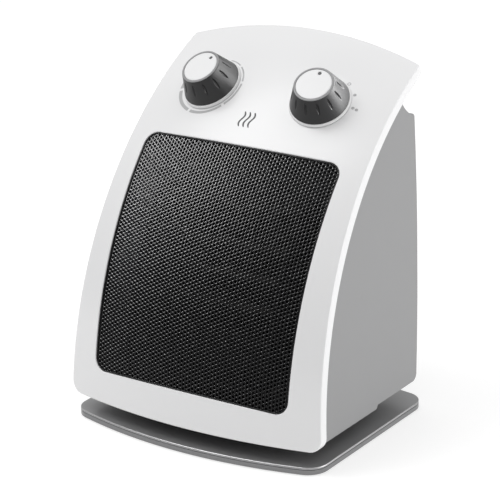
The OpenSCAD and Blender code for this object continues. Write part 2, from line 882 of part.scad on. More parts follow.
module motor_rotor() {
    color("#8b8f93") translate([0, stator_y, fan_z]) rotate([-90, 0, 0]) difference() {
        cylinder(r = rotor_r, h = stator_t);
        translate([0, 0, -1]) cylinder(r = shaft_r - 0.02, h = stator_t + 2);
    }
}

module motor_stator() {
    color("#6f7478") translate([0, stator_y, fan_z]) rotate([-90, 0, 0]) difference() {
        union() {
            translate([-28, -20, 0]) cube([56, 40, stator_t]);
            translate([-28, 20 - eps, 0]) cube([14, 22, stator_t]);
            translate([14, 20 - eps, 0]) cube([14, 22, stator_t]);
            translate([-28, 34, 0]) cube([56, 10, stator_t]);
        }
        translate([0, 0, -1]) cylinder(r = rotor_r + rotor_gap, h = stator_t + 2);
        for (x = [-22, 22]) translate([x, 0, -1]) cylinder(r = screw_r + 0.1, h = stator_t + 2);
    }
}

module motor_coil() {
    color("#b5651d") translate([0, stator_y - 3, fan_z - 39]) difference() {
        translate([-13.8, 0, -8]) cube([27.6, stator_t + 6, 16]);
        translate([-14, 3 - 0.1, -5.1]) cube([28, stator_t + 0.2, 10.2]);
    }
}

// Bridge with the bearing pocket, on one side of the stator
module motor_bridge() {
    difference() {
        union() {
            for (x = [-1, 1]) {
                translate([x * 22, 0, 0]) cylinder(r = 5, h = bridge_gap);
            }
            translate([-22, -5, bridge_gap - bridge_t]) cube([44, 10, bridge_t]);
            translate([0, 0, bridge_gap - bridge_t]) cylinder(r = 7, h = bridge_t + 2);
        }
        translate([0, 0, -1]) cylinder(r = 4, h = 20);
        for (x = [-22, 22]) translate([x, 0, -1]) cylinder(r = screw_r + 0.1, h = 20);
    }
}
module motor_front_bridge() {
    color("#c4c7ca") translate([0, stator_y, fan_z]) rotate([90, 0, 0]) motor_bridge();
}
module motor_rear_bridge() {
    color("#c4c7ca") translate([0, stator_y + stator_t, fan_z]) rotate([-90, 0, 0]) motor_bridge();
}

module motor_bushes() {
    color("#b08d57") for (y = [stator_y - bridge_gap - 2, stator_y + stator_t + 1.5])
        translate([0, y, fan_z]) rotate([-90, 0, 0]) difference() {
            cylinder(r = 4, h = bridge_gap + 0.5);
            translate([0, 0, -1]) cylinder(r = shaft_r + 0.02, h = 10);
        }
}

// ---------- tip-over switch, mains entry ----------

module tip_switch_case() {
    z0 = body_z0 + rear_step + wall;
    color("#303030") translate([tip_at[0], tip_at[1], z0]) difference() {
        translate([-tip_case[0] / 2, -tip_case[1] / 2, 0]) cube(tip_case);
        translate([0, 0, -1]) cylinder(r = tip_r + 0.06, h = 8);
        translate([0, 0, 5]) cylinder(r = 5.2, h = tip_case[2] - 7);
    }
}

module tip_plunger() {
    z0 = body_z0 + rear_step + wall;
    collar_z = z0 + 5 + tip_travel + 0.1;
    color("#d04030") translate([tip_at[0], tip_at[1], 0]) {
        translate([0, 0, tip_rest_z + 2]) cylinder(r = tip_r, h = collar_z + 4 - tip_rest_z - 2);
        translate([0, 0, tip_rest_z]) cylinder(r1 = tip_r - 1.2, r2 = tip_r, h = 2 + eps);
        translate([0, 0, collar_z]) cylinder(r = 4.9, h = 1.5);
    }
}

// Points of one ring of a coil's wire, at a turn angle
function coil_ring(a, r, wire, pitch, sides) = [for (k = [0 : sides - 1])
    let (q = 360 * k / sides)
    [(r + wire * cos(q)) * cos(a), (r + wire * cos(q)) * sin(a), pitch * a / 360 + wire * sin(q)]];

module coil(r, wire, pitch, turns, sides = 6, steps = 16) {
    rings = turns * steps;
    points = [for (i = [0 : rings], p = coil_ring(360 * i / steps, r, wire, pitch, sides)) p];
    walls = [for (i = [0 : rings - 1], k = [0 : sides - 1]) let (n = (k + 1) % sides)
        [i * sides + k, (i + 1) * sides + k, (i + 1) * sides + n, i * sides + n]];
    ends = [[for (k = [0 : sides - 1]) k], [for (k = [sides - 1 : -1 : 0]) rings * sides + k]];
    polyhedron(points, concat(walls, ends));
}

module tip_spring() {
    z0 = body_z0 + rear_step + wall + 5 + tip_travel + 0.1 + 1.5;
    z1 = body_z0 + rear_step + wall + tip_case[2] - 2;
    color("silver") translate([tip_at[0], tip_at[1], z0 + 0.45])
        coil(3.9, 0.4, (z1 - z0 - 0.9) / 5, 5);
}

module terminal_block() {
    color("#f0efe8") translate([-46, 49, body_z0 + rear_step + wall]) difference() {
        translate([-16, -7, 0]) cube([32, 14, 12]);
        for (x = [-10, 0, 10]) translate([x, -8, 6]) rotate([-90, 0, 0])
            cylinder(r = 2, h = 16);
        for (x = [-10, 0, 10]) translate([x, 0, 7]) cylinder(r = 1.8, h = 10);
    }
}

module cord_grommet() {
    at_y = rear_y - 5.4;
    color("#222222") translate([inlet_at[0], at_y, inlet_at[1]]) rotate([-90, 0, 0]) difference() {
        union() {
            cylinder(r = inlet_r - 0.05, h = 6);
            translate([0, 0, 3.8]) cylinder(r = 7, h = 2.2);
            translate([0, 0, -1.6]) cylinder(r = 7, h = 2);
        }
        translate([0, 0, -5]) cylinder(r = 3.2, h = 20);
    }
}

// ---------- fasteners ----------

module shell_screws() {
    color("silver") at_shell_screws() translate([0, 0, seam_y + 8]) screw(18);
}
module plinth_screws() {
    color("silver") at_plinth_screws() translate([0, 0, foot_h + 1.2]) rotate([180, 0, 0])
        intersection() {
            screw(18);
            translate([0, 0, -30]) cylinder(r = 10, h = 31.1);
        }
}
module bracket_screws() {
    color("silver") at_bracket_screws() translate([0, 0, -bracket_d])
        rotate([180, 0, 0]) screw(6);
}
module motor_screws() {
    color("silver") at_motor_screws() translate([0, 0, stator_y + stator_t + bridge_gap])
        screw(stator_t + 2 * bridge_gap + 3);
}
module frame_screws() {
    color("silver") at_frame_screws() translate([0, 0, shroud_y - 3]) rotate([180, 0, 0]) screw(5);
}

front_panel();
grille_bezel();
grille_mesh();
front_shell();
rear_shell();
neck();
plinth_top();
plinth_base();
rubber_feet();
thermostat_knob();
thermostat_knob_cap();
thermostat_spindle();
thermostat_case();
mode_knob();
mode_knob_cap();
mode_spindle();
mode_switch_case();
spindle_nuts();
control_bracket();
heater_frame();
outlet_duct();
ptc_fins();
ptc_plates();
ptc_terminals();
thermal_cutout();
thermal_fuse();
fan_shroud();
impeller();
motor_shaft();
motor_rotor();
motor_stator();
motor_coil();
motor_front_bridge();
motor_rear_bridge();
motor_bushes();
tip_switch_case();
tip_plunger();
tip_spring();
terminal_block();
cord_grommet();
shell_screws();
plinth_screws();
bracket_screws();
motor_screws();
frame_screws();
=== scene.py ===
"""Looks of a compact ceramic fan heater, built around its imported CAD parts.

Lengths are millimetres in this file and become metres in the meshes; lights and the camera are
placed in metres. The numbers that the visible shapes share with the CAD come first, and keep the
CAD's names. DIAL_FOOT, DIAL_FOOT_H and DOT_R differ slightly from the CAD, for the looks.
"""

import math

import bmesh
import bpy
import numpy as np
from mathutils import Matrix, Vector


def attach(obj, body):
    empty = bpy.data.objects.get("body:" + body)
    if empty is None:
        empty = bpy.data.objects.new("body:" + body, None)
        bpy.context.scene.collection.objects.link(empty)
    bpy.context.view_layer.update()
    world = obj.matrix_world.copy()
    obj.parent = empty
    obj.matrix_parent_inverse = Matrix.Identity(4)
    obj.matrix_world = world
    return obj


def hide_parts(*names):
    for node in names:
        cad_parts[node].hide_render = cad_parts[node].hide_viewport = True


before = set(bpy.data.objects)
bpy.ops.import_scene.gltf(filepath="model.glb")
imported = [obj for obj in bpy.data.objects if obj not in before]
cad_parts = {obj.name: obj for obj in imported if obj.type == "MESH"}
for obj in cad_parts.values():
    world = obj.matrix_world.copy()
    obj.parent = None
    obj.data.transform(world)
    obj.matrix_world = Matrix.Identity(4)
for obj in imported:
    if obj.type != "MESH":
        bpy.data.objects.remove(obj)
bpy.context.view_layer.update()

MM = 0.001

# ---------- the shape that the panel, the grille and the dials share ----------

AXIS_Y, AXIS_Z = 170.8, 13.5
HALF_W, TOP_X = 94.5, 84.4
BOW = 12.4
CROWN_R = 232.5 + BOW
BOW_R = (HALF_W**2 + BOW**2) / (2 * BOW)
BODY_Z0 = 14.5
PANEL_Z0 = BODY_Z0 + 0.9
TOP_ANGLE = 64.9
ARCH_ANGLE = TOP_ANGLE + 1.1
TOP_ARCH = 8.6
FLANGE_D = 6.3
SKIN_T = 2.4
BOTTOM_CORNER_R = 8.0
TOP_CORNER_R = 2.0
OUTLET_W = 145.0
OUTLET_LOW, OUTLET_HIGH = 5.6, 43.8
OUTLET_MID = (OUTLET_LOW + OUTLET_HIGH) / 2
OUTLET_R = 9.0
BEZEL_W = 1.0
DIAL_X, DIAL_ANGLE = 40.2, 53.0
DIAL_R, DIAL_RIM_R, DIAL_H = 19.1, 12.8, 17.5
DIAL_GAP, DIAL_FOOT, DIAL_FOOT_H = 0.5, 0.8, 0.9
CAP_R = DIAL_RIM_R - 1.3
GRIPS, GRIP_W, GRIP_LENGTH, GRIP_DEPTH = 12, 1.5, 7.4, 0.9
DOT_AT, DOT_R = 8.7, 1.3
THERMOSTAT_ZERO = 28.0

# ---------- the plinth's outline ----------

PLINTH_HALF, PLINTH_D = 92.5, 153.6
PLINTH_BOW, PLINTH_REAR_BOW = 14.8, 7.5
PLINTH_R = 14.0
PLINTH_Z, PLINTH_TOP_T = 5.3, 1.4
PLINTH_SCREW_X, PLINTH_SCREW_Y, PLINTH_SCREW_R = 44, (-24, 34), 1.8
PLUNGER_AT, PLUNGER_R = (30, 22), 4.0


def sind(a):
    return np.sin(np.radians(a))


def cosd(a):
    return np.cos(np.radians(a))


def barrel_r(x):
    """Radius of the barrel at the distance x from the middle."""
    return CROWN_R - BOW_R + np.sqrt(BOW_R * BOW_R - x * x)


TOP_Z = AXIS_Z + barrel_r(TOP_X) * sind(TOP_ANGLE)
SIDE_SLOPE = (HALF_W - TOP_X) / (TOP_Z - PANEL_Z0)
SIDE_LEAN = math.degrees(math.atan(SIDE_SLOPE))
ARCH_R = (TOP_X**2 + TOP_ARCH**2) / (2 * TOP_ARCH)
ARCH_MID = barrel_r(TOP_X) * sind(TOP_ANGLE - ARCH_ANGLE) + TOP_ARCH - ARCH_R
OUTLET_H = 2 * (CROWN_R - BOW / 2) * sind((OUTLET_HIGH - OUTLET_LOW) / 2)


def panel_x(z):
    """Half width of the panel at a height."""
    return HALF_W - SIDE_SLOPE * (z - PANEL_Z0)


def surface(b, a, depth=0.0):
    """Points at a depth under the face, from the radians across it (b) and up its curve (a)."""
    r = CROWN_R - BOW_R + (BOW_R - depth) * np.cos(b)
    x = (BOW_R - depth) * np.sin(b)
    return np.stack([x, AXIS_Y - r * np.cos(a), AXIS_Z + r * np.sin(a)], -1)


def normal(b, a):
    """The face's outward normals at the angles b and a."""
    return np.stack([np.sin(b), -np.cos(b) * np.cos(a), np.cos(b) * np.sin(a)], -1)


def angles(p):
    """The angles (b, a) of points near the panel's face."""
    up, back = p[..., 2] - AXIS_Z, AXIS_Y - p[..., 1]
    return np.arctan2(p[..., 0], np.hypot(up, back) - CROWN_R + BOW_R), np.arctan2(up, back)


def unit(v):
    return v / np.linalg.norm(v, axis=-1, keepdims=True)


def dot(p, q):
    return (p * q).sum(-1, keepdims=True)


def polar(r, angle):
    """A flat point from its distance and its angle clockwise from the top."""
    return r * np.array([sind(angle), cosd(angle)])


# ---------- meshes ----------


def add_mesh(name, verts, faces, material, body="root", weighted=True):
    """A piece from points in millimetres, riding on a body."""
    mesh = bpy.data.meshes.new(name)
    mesh.from_pydata((np.asarray(verts, float).reshape(-1, 3) * MM).tolist(), [], faces)
    bm = bmesh.new()
    bm.from_mesh(mesh)
    bmesh.ops.remove_doubles(bm, verts=bm.verts, dist=1e-7)
    bmesh.ops.dissolve_degenerate(bm, edges=bm.edges, dist=1e-7)
    bmesh.ops.recalc_face_normals(bm, faces=bm.faces)
    bm.to_mesh(mesh)
    bm.free()
    mesh.materials.append(material)
    piece = bpy.data.objects.new(name, mesh)
    bpy.context.scene.collection.objects.link(piece)
    mesh.shade_smooth()
    if weighted:
        modifier = piece.modifiers.new("weighted", "WEIGHTED_NORMAL")
        modifier.weight = 60
    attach(piece, body)
    return piece


def grid_faces(rows, cols, wrap_rows=False, wrap_cols=True):
    """Quads over rows of points, each row cols long."""
    faces = []
    for i in range(rows if wrap_rows else rows - 1):
        for j in range(cols if wrap_cols else cols - 1):
            i1, j1 = (i + 1) % rows, (j + 1) % cols
            faces.append((i * cols + j, i * cols + j1, i1 * cols + j1, i1 * cols + j))
    return faces


def add_loops(name, rows, material):
    """A closed ring-shaped piece from loops of points, the last of which joins the first."""
    rows = np.array(rows)
    return add_mesh(name, rows, grid_faces(len(rows), rows.shape[1], True, True), material)


def lathe(profile, steps):
    """Points of a profile (radius, height) turned about local Z, row by row."""
    t = np.arange(steps) * 2 * np.pi / steps
    p = np.asarray(profile, float)
    return np.stack(
        [
            np.outer(p[:, 0], np.cos(t)),
            np.outer(p[:, 0], np.sin(t)),
            np.repeat(p[:, 1:], steps, 1),
        ],
        -1,
    )


def on_panel(p, x, angle):
    """Moves points from a dial's own axes, Z outwards and Y up, to the panel."""
    b, a = np.arcsin(x / BOW_R), np.radians(angle)
    axes = np.array(
        [
            [np.cos(b), np.sin(b) * np.cos(a), -np.sin(b) * np.sin(a)],
            [0, np.sin(a), np.cos(a)],
            normal(b, a),
        ]
    )
    return np.asarray(p, float) @ axes + surface(b, a)


def mirrored(half):
    """A closed loop from its right half, which runs from the middle below to the middle above."""
    left = [p[-2:0:-1] * ([-1] + [1] * (p.shape[-1] - 1)) for p in half]
    return [np.concatenate([p, q]) for p, q in zip(half, left)]


N_LOW, N_CORNER, N_SIDE, N_TOP = 34, 14, 72, 40


def panel_outline():
    """Points on the panel's face along its edge, and the outward normals of its edge walls."""
    low, r = PANEL_Z0, BOTTOM_CORNER_R
    cx, cz = panel_x(low + r) - r / cosd(SIDE_LEAN), low + r
    x, a, m = [], [], []

    def add_upright(px, pz, normals):
        x.append(px)
        a.append(np.arcsin((pz - AXIS_Z) / barrel_r(px)))
        m.append(normals)

    def add_arched(phi, centre, radius):
        px, v = centre[0] + radius * cosd(phi), centre[1] + radius * sind(phi)
        x.append(px)
        a.append(np.radians(ARCH_ANGLE) + np.arcsin(v / barrel_r(px)))
        up = sind(phi)
        m.append(np.stack([cosd(phi), up * sind(ARCH_ANGLE), up * cosd(ARCH_ANGLE)], -1))

    n = N_LOW
    px = np.linspace(0, cx, n, endpoint=False)
    add_upright(px, np.full(n, low), np.tile([0.0, 0.0, -1.0], (n, 1)))
    phi = np.linspace(-90, SIDE_LEAN, N_CORNER, endpoint=False)
    add_upright(
        cx + r * cosd(phi), cz + r * sind(phi), np.stack([cosd(phi), 0 * phi, sind(phi)], -1)
    )
    # the top corner's circle touches the side and the arch
    r = TOP_CORNER_R
    tx = TOP_X - r
    for _ in range(6):
        tv = ARCH_MID + math.sqrt((ARCH_R - r) ** 2 - tx * tx)
        angle = math.radians(ARCH_ANGLE) + math.asin(tv / barrel_r(tx + r))
        tx = panel_x(AXIS_Z + barrel_r(tx + r) * math.sin(angle)) - r
    end_z = AXIS_Z + barrel_r(tx + r) * math.sin(angle)
    z = np.linspace(cz + BOTTOM_CORNER_R * sind(SIDE_LEAN), end_z, N_SIDE, endpoint=False)
    add_upright(panel_x(z), z, np.tile([cosd(SIDE_LEAN), 0.0, sind(SIDE_LEAN)], (N_SIDE, 1)))
    end = math.degrees(math.atan2(tv - ARCH_MID, tx))
    add_arched(np.linspace(0, end, N_CORNER, endpoint=False), (tx, tv), r)
    add_arched(np.linspace(end, 90, N_TOP), (0, ARCH_MID), ARCH_R)
    x, a, m = np.concatenate(x), np.concatenate(a), np.concatenate(m)
    x[-1] = 0
    p, m = mirrored([surface(np.arcsin(x / BOW_R), a), m])
    return p, m


def outlet_outline(inset=0.0, depth=0.0):
    """Points along the outlet's edge, and the normals that point away from its middle."""
    w, h, r = OUTLET_W / 2 - inset, OUTLET_H / 2 - inset, OUTLET_R - inset
    low = np.linspace(0, w - r, N_LOW, endpoint=False)
    phi0 = np.linspace(-90, 0, N_CORNER, endpoint=False)
    side = np.linspace(-(h - r), h - r, N_SIDE, endpoint=False)
    phi1 = np.linspace(0, 90, N_CORNER, endpoint=False)
    top = np.linspace(w - r, 0, N_TOP)
    x = np.concatenate(
        [low, w - r + r * cosd(phi0), np.full(N_SIDE, w), w - r + r * cosd(phi1), top]
    )
    y = np.concatenate(
        [
            np.full(N_LOW, -h),
            r - h + r * sind(phi0),
            side,
            h - r + r * sind(phi1),
            np.full(N_TOP, h),
        ]
    )
    mx = np.concatenate([0 * low, cosd(phi0), 0 * side + 1, cosd(phi1), 0 * top])
    my = np.concatenate([0 * low - 1, sind(phi0), 0 * side, sind(phi1), 0 * top + 1])
    m = np.stack([mx, my * sind(OUTLET_MID), my * cosd(OUTLET_MID)], -1)
    p, m = mirrored([outlet_point(x, y, depth), m])
    return p, m


def outlet_point(x, y, depth=0.0):
    """A point of the outlet's flat outline, carried onto the curved face."""
    a = np.radians(OUTLET_MID) + np.arcsin(y / barrel_r(x))
    return surface(np.arcsin(x / BOW_R), a, depth)


class Edge:
    """The edge of a curved sheet: its outline p on the face, and its wall's outward normals m."""

    def __init__(self, p, m):
        self.p, self.m = p, m
        self.n = normal(*angles(p))
        self.lean = dot(self.n, m)
        self.inwards = -unit(m - self.lean * self.n)
        self.down = -unit(self.n - self.lean * m)

    def rounded(self, r, steps):
        """Rows from the face to the wall over an edge of radius r."""
        turn = np.arccos(self.lean)
        reach = r * np.tan(turn / 2)
        centre = self.p + self.inwards * reach - self.n * r
        rows = []
        for s in np.linspace(0, 1, steps + 1):
            d = (np.sin((1 - s) * turn) * self.n + np.sin(s * turn) * self.m) / np.sin(turn)
            rows.append(centre + r * d)
        return rows

    def at(self, inset, depth):
        """Points inside the wall, at a depth under the face."""
        along = (depth - inset * self.lean) / -dot(self.down, self.n)
        return self.p - self.m * inset + self.down * along


def between(p, q, shares, depth):
    """Rows across the face, from the loop p to the loop q."""
    bp, ap = angles(p)
    bq, aq = angles(q)
    return [surface(bp + (bq - bp) * s, ap + (aq - ap) * s, depth) for s in shares]


# ---------- materials ----------


def material(
    name,
    colour,
    rough,
    metallic=0.0,
    tone=0.03,
    patch=60.0,
    grain=1500.0,
    grain_depth=0.02,
    rough_spread=0.04,
    specular=0.5,
):
    """A moulded or painted surface: slow changes of tone, uneven gloss and a fine grain."""
    m = bpy.data.materials.new(name)
    m.use_nodes = True
    nodes, links = m.node_tree.nodes, m.node_tree.links
    shader = nodes["Principled BSDF"]
    shader.inputs["Metallic"].default_value = metallic
    shader.inputs["Specular IOR Level"].default_value = specular
    place = nodes.new("ShaderNodeTexCoord")
    slow = nodes.new("ShaderNodeTexNoise")
    slow.inputs["Scale"].default_value = patch
    slow.inputs["Detail"].default_value = 3
    links.new(place.outputs["Object"], slow.inputs["Vector"])
    mix = nodes.new("ShaderNodeMix")
    mix.data_type = "RGBA"
    factor, colour_a, colour_b = mix.inputs[0], mix.inputs[6], mix.inputs[7]
    colour_a.default_value = [c * (1 - tone) for c in colour] + [1]
    colour_b.default_value = [min(1, c * (1 + tone)) for c in colour] + [1]
    links.new(slow.outputs["Fac"], factor)
    links.new(mix.outputs[2], shader.inputs["Base Color"])
    gloss = nodes.new("ShaderNodeMapRange")
    gloss.inputs["From Min"].default_value = 0.3
    gloss.inputs["From Max"].default_value = 0.7
    gloss.inputs["To Min"].default_value = rough - rough_spread
    gloss.inputs["To Max"].default_value = rough + rough_spread
    links.new(slow.outputs["Fac"], gloss.inputs["Value"])
    links.new(gloss.outputs["Result"], shader.inputs["Roughness"])
    fine = nodes.new("ShaderNodeTexNoise")
    fine.inputs["Scale"].default_value = grain
    fine.inputs["Detail"].default_value = 2
    links.new(place.outputs["Object"], fine.inputs["Vector"])
    bump = nodes.new("ShaderNodeBump")
    bump.inputs["Strength"].default_value = 0.5
    bump.inputs["Distance"].default_value = grain_depth * MM
    links.new(fine.outputs["Fac"], bump.inputs["Height"])
    links.new(bump.outputs["Normal"], shader.inputs["Normal"])
    return m


# what the fine mouldings share
SMOOTH = dict(grain=900, grain_depth=0.003, rough_spread=0.01)
SATIN = dict(grain=2200, grain_depth=0.002)
BRUSHED = dict(grain=2400, grain_depth=0.001, rough_spread=0.01)
FINE = dict(grain=2400, grain_depth=0.0006, rough_spread=0.003)

WHITE = material("white_gloss", (0.80, 0.80, 0.805), 0.26, tone=0.002, **SMOOTH)
BEZEL = material("bezel_black", (0.008, 0.008, 0.009), 0.35, tone=0.1, specular=0.35)
MESH = material(
    "grille_black",
    (0.003, 0.003, 0.0035),
    0.31,
    tone=0.1,
    patch=300,
    grain_depth=0.004,
    specular=0.28,
)
BODY = material("shell_grey", (0.268, 0.268, 0.271), 0.48, tone=0.02, grain=2600, grain_depth=0.03)
KNOB = material(
    "knob_metallic",
    (0.004, 0.004, 0.0045),
    0.36,
    tone=0.04,
    rough_spread=0.01,
    specular=0.44,
    **SATIN,
)
KNOB_RIM = material(
    "knob_rim_silver", (0.27, 0.27, 0.275), 0.32, tone=0.01, rough_spread=0.01, **SATIN
)
KNOB_FOOT = material("knob_foot_white", (0.78, 0.78, 0.785), 0.4, tone=0.01, **SATIN)
DOT = material("dot_dark", (0.07, 0.07, 0.075), 0.35)
CAP = material("cap_white", (0.80, 0.80, 0.805), 0.36, tone=0.003, **SMOOTH)
DARK = material("mark_dark", (0.10, 0.10, 0.105), 0.45)
PRINT = material("mark_grey", (0.42, 0.42, 0.425), 0.5)
PLINTH = material("plinth_silver", (0.40, 0.40, 0.405), 0.3, metallic=0.6, tone=0.004, **FINE)
POLISHED = material(
    "plinth_polished", (0.60, 0.60, 0.605), 0.3, metallic=1.0, tone=0.01, **BRUSHED
)
PLINTH_SIDE = material("plinth_edge", (0.21, 0.21, 0.213), 0.3, metallic=0.6, tone=0.008, **BRUSHED)
NECK = material("neck_dark", (0.035, 0.035, 0.037), 0.45)
RUBBER = material("foot_rubber", (0.02, 0.02, 0.02), 0.8, grain_depth=0.05)
CREAM = material("moulding_cream", (0.74, 0.70, 0.58), 0.45)
PHENOLIC = material("moulding_black", (0.03, 0.03, 0.032), 0.5)
STEEL = material("steel", (0.62, 0.62, 0.63), 0.28, metallic=1.0, tone=0.05)
ZINC = material("zinc_plate", (0.60, 0.61, 0.62), 0.42, metallic=1.0, tone=0.12, patch=150)
BRASS = material("brass", (0.72, 0.52, 0.22), 0.3, metallic=1.0, tone=0.06)
COPPER = material("copper_coil", (0.62, 0.26, 0.12), 0.35, metallic=1.0, tone=0.15, patch=400)
LAMINATION = material("lamination", (0.30, 0.30, 0.32), 0.5, metallic=0.9, tone=0.15, patch=500)
FAN = material("fan_plastic", (0.07, 0.075, 0.08), 0.42)
# painted shade: darker than the real ones, so that the space behind the grille stays dark as it is
# in shade
HEATPROOF = material("moulding_heat", (0.02, 0.02, 0.022), 0.7, grain_depth=0.05)
CERAMIC = material("heater_ceramic", (0.07, 0.067, 0.065), 0.7, tone=0.08, patch=200)
# painted shade: the fins, the terminals and the zinc parts are far darker than their bare metals,
# so that inside the heater they stay as dark as shade, without bright bands or glints through the
# grille
FINS = material("fin_aluminium", (0.05, 0.05, 0.052), 0.65, metallic=0.8, tone=0.06)
TERMINAL = material("terminal_brass", (0.20, 0.14, 0.06), 0.6, metallic=0.8, tone=0.06)
SHADED_ZINC = material("zinc_painted_shade", (0.14, 0.14, 0.145), 0.65, metallic=0.7, tone=0.08)

CAD_LOOKS = {
    "front_shell": BODY,
    "rear_shell": BODY,
    "neck": NECK,
    "plinth_top": PLINTH,
    "plinth_base": PLINTH_SIDE,
    "rubber_feet": RUBBER,
    "thermostat_spindle": BRASS,
    "mode_spindle": BRASS,
    "thermostat_case": CREAM,
    "mode_switch_case": PHENOLIC,
    "spindle_nuts": SHADED_ZINC,
    "control_bracket": SHADED_ZINC,
    "heater_frame": HEATPROOF,
    "outlet_duct": HEATPROOF,
    "ptc_fins": FINS,
    "ptc_plates": CERAMIC,
    "ptc_terminals": TERMINAL,
    "thermal_cutout": PHENOLIC,
    "thermal_fuse": SHADED_ZINC,
    "fan_shroud": FAN,
    "impeller": FAN,
    "motor_shaft": STEEL,
    "motor_rotor": LAMINATION,
    "motor_stator": LAMINATION,
    "motor_coil": COPPER,
    "motor_front_bridge": ZINC,
    "motor_rear_bridge": ZINC,
    "motor_bushes": BRASS,
    "tip_switch_case": PHENOLIC,
    "tip_plunger": PHENOLIC,
    "tip_spring": STEEL,
    "terminal_block": CREAM,
    "cord_grommet": RUBBER,
    "shell_screws": STEEL,
    "plinth_screws": STEEL,
    "bracket_screws": SHADED_ZINC,
    "motor_screws": STEEL,
    "frame_screws": SHADED_ZINC,
}
for node, look in CAD_LOOKS.items():
    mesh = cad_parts[node].data
    mesh.materials.clear()
    mesh.materials.append(look)

# what the light cards shine on
DIAL_PIECES, GRILLE_PIECES = [], []

# ---------- front panel ----------

PANEL_ROUND, OUTLET_ROUND = 1.1, 0.5
BEZEL_TOP, BEZEL_BACK = 0.6, 6.0


def make_panel():
    """The bowed front: its face, the outlet's walls, the skin's back and the flange."""
    outer = Edge(*panel_outline())
    p, m = outlet_outline()
    inner = Edge(p, -m)
    outer_round = outer.rounded(PANEL_ROUND, 6)
    inner_round = inner.rounded(OUTLET_ROUND, 3)
    shares = [0.006, 0.02, 0.05, 0.09] + list(np.linspace(0.14, 0.9, 18)) + [0.95, 0.98, 0.994]
    rows = between(outer_round[0], inner_round[0], shares, 0.0)
    rows += inner_round + [inner.at(0, 1.6), inner.at(0, SKIN_T - 0.15), inner.at(0.15, SKIN_T)]
    skin = between(
        inner.at(0.15, SKIN_T), outer.at(SKIN_T + 0.2, SKIN_T), np.linspace(0, 1, 12)[1:], SKIN_T
    )
    lip = 0.25
    rows += skin + [outer.at(SKIN_T, d) for d in (SKIN_T + 0.2, 4.2, FLANGE_D - lip)]
    rows += [outer.at(inset, FLANGE_D) for inset in (SKIN_T - lip, SKIN_T / 2, lip)]
    rows += [outer.at(0, d) for d in (FLANGE_D - lip, 5.0, 3.4, 1.8)]
    rows += outer_round[::-1]
    panel = add_loops("front_panel_shell", rows, WHITE)
    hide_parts("front_panel")


def make_bezel():
    """The black ring in the outlet, set in under the panel's face."""
    outer = Edge(*outlet_outline(0.05))
    p, m = outlet_outline(BEZEL_W)
    inner = Edge(p, -m)
    top = BEZEL_TOP
    rows = [outer.at(0, d) for d in (BEZEL_BACK, BEZEL_BACK / 2, top + 0.35)]
    rows += [outer.at(0.1, top + 0.1), outer.at(0.35, top)]
    rows += [inner.at(0.35, top), inner.at(0.1, top + 0.1), inner.at(0, top + 0.35)]
    rows += [inner.at(0, d) for d in (BEZEL_BACK / 2, BEZEL_BACK)]
    bezel = add_loops("outlet_bezel", rows, BEZEL)
    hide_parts("grille_bezel")


# ---------- perforated grille ----------

HOLE_COLUMN, HOLE_ROW = 2.25, 2.55
HOLE_R = 0.89
HOLE_SIDES = 12
GRILLE_DEPTH, GRILLE_BACK = 1.1, 2.15
GRILLE_INSET = 0.7
# how far the bars' crossings stand over, and the holes' edges lie under, the sheet's face
CROSSING_UP, HOLE_EDGE_DOWN = 0.06, 0.2


def make_grille():
    """A sheet of round holes in staggered columns, with rounded bars between them."""
    half_w, half_h = OUTLET_W / 2 - GRILLE_INSET, OUTLET_H / 2 - GRILLE_INSET
    corner = OUTLET_R - GRILLE_INSET

    def held_in(x, y):
        """Points outside the sheet's outline move to its edge."""
        cx, cy = half_w - corner, half_h - corner
        qx, qy = np.maximum(abs(x) - cx, 0), np.maximum(abs(y) - cy, 0)
        far = np.maximum(np.hypot(qx, qy) / corner, 1)
        return (
            np.sign(x) * (np.minimum(abs(x), cx) + qx / far),
            np.sign(y) * (np.minimum(abs(y), cy) + qy / far),
            far > 1,
        )

    # one hexagonal cell: from its rim over the bar and through the hole to the back
    t = np.arange(HOLE_SIDES) * 360 / HOLE_SIDES
    flat = np.full(HOLE_SIDES, 1.0)
    rim_r = HOLE_ROW / 2 / cosd((t + 30) % 60 - 30)
    rim_x = rim_r * cosd(t) * HOLE_COLUMN / (HOLE_ROW * cosd(30))
    rim_y = rim_r * sind(t)
    hole_x, hole_y = HOLE_R * cosd(t), HOLE_R * sind(t)
    up = np.where(np.arange(HOLE_SIDES) % 2 == 0, CROSSING_UP, 0.0)
    levels = [
        (rim_x, rim_y, GRILLE_DEPTH - up),
        ((rim_x + hole_x) / 2, (rim_y + hole_y) / 2, GRILLE_DEPTH + 0.02 - up / 2),
        (hole_x, hole_y, flat * (GRILLE_DEPTH + HOLE_EDGE_DOWN)),
        (hole_x * 0.93, hole_y * 0.93, flat * (GRILLE_BACK - 0.05)),
        (rim_x, rim_y, flat * GRILLE_BACK),
    ]
    cell = grid_faces(len(levels), HOLE_SIDES)
    columns = int(half_w // HOLE_COLUMN) + 1
    rows = int(half_h // HOLE_ROW) + 1
    halves = {"left": ([], []), "right": ([], [])}
    for i in range(-columns, columns + 1):
        verts, faces = halves["left" if i < 0 else "right"]
        for j in range(-rows, rows + 1):
            x0, y0 = i * HOLE_COLUMN, (j + 0.5 * (i % 2)) * HOLE_ROW
            hx, hy, outside = held_in(np.array([x0]), np.array([y0]))
            # cells whose middle lies well outside the outline are left out
            if outside[0] and math.hypot(hx[0] - x0, hy[0] - y0) > 0.75:
                continue
            start = len(verts) * HOLE_SIDES
            for dx, dy, depth in levels:
                x, y, _ = held_in(x0 + dx, y0 + dy)
                verts.append(outlet_point(x, y, depth))
            faces.extend([tuple(start + k for k in f) for f in cell])
    for name, (verts, faces) in halves.items():
        grille = add_mesh(f"grille_{name}", verts, faces, MESH, weighted=False)
        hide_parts("grille_mesh")
        GRILLE_PIECES.append(grille)


# ---------- dials ----------

DIAL_STEPS, GRIP_STEPS, BEAD_STEPS = 240, 600, 40
FOOT_INNER_R = 18.2
CAP_PROUD = 0.02
DOT_DEPTH = 0.35


